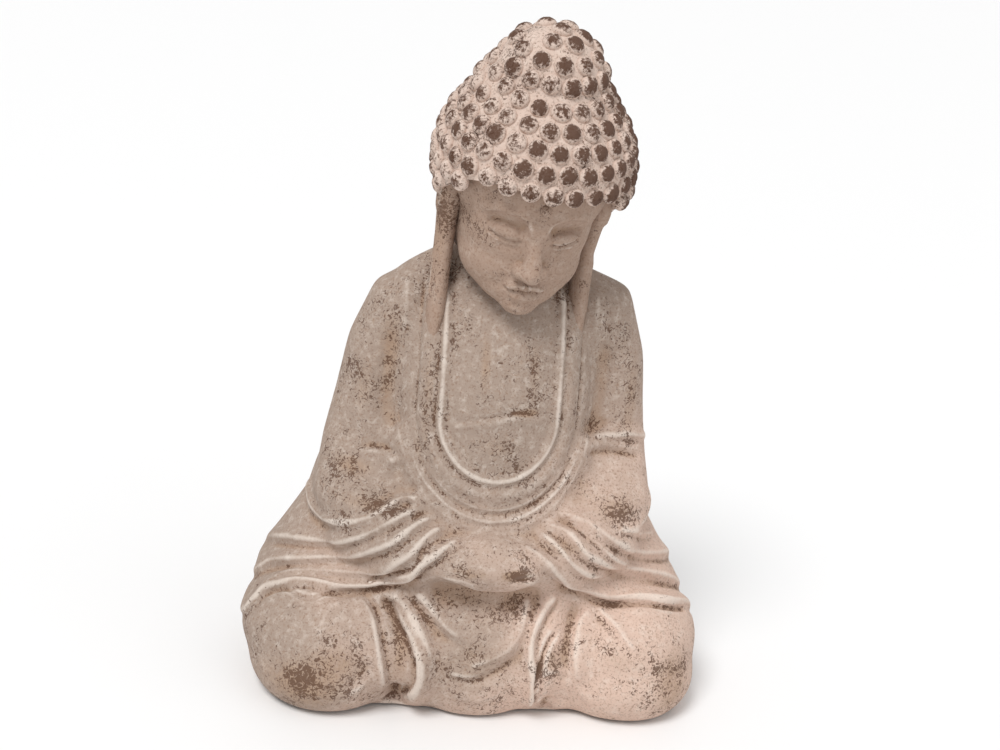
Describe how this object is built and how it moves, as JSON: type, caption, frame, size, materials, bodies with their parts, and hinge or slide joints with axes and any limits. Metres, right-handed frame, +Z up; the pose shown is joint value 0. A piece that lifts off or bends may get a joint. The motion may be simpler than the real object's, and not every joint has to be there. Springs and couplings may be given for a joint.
{
  "type": "seated buddha statue",
  "caption": "Hollow figure of a seated, meditating Buddha in a draped robe, with hands in the lap, bowed head, long ears and curled hair; stands on a flat base.",
  "frame": {"origin": "middle of the footprint, on the surface that the figure stands on", "axes": "+Z up, -Y the way the figure faces, +X the figure's own left"},
  "size_m": [0.2804, 0.1916, 0.4065],
  "materials": {
    "whitewashed_terracotta": "matte, whitewashed and rubbed, with dark specks",
    "felt": "matte felt"
  },
  "bodies": {
    "root": {"base_plate": "whitewashed_terracotta", "right_leg": "whitewashed_terracotta", "left_leg": "whitewashed_terracotta", "seat_front": "whitewashed_terracotta", "seat_back": "whitewashed_terracotta", "torso_front": "whitewashed_terracotta", "torso_back": "whitewashed_terracotta", "neck_tube": "whitewashed_terracotta", "right_hand": "whitewashed_terracotta", "left_hand": "whitewashed_terracotta", "neck_band_inner": "whitewashed_terracotta", "neck_band_middle": "whitewashed_terracotta", "neck_band_outer": "whitewashed_terracotta", "right_sleeve": "whitewashed_terracotta", "left_sleeve": "whitewashed_terracotta", "right_hem": "whitewashed_terracotta", "left_hem": "whitewashed_terracotta", "right_ear": "whitewashed_terracotta", "left_ear": "whitewashed_terracotta", "lap_drape": "whitewashed_terracotta", "face": "whitewashed_terracotta", "head_back": "whitewashed_terracotta", "hair_cap": "whitewashed_terracotta", "topknot": "whitewashed_terracotta", "hair_curls": "whitewashed_terracotta", "topknot_curls": "whitewashed_terracotta", "forehead_mark": "whitewashed_terracotta", "felt_pads": "felt"}
  },
  "joints": []
}
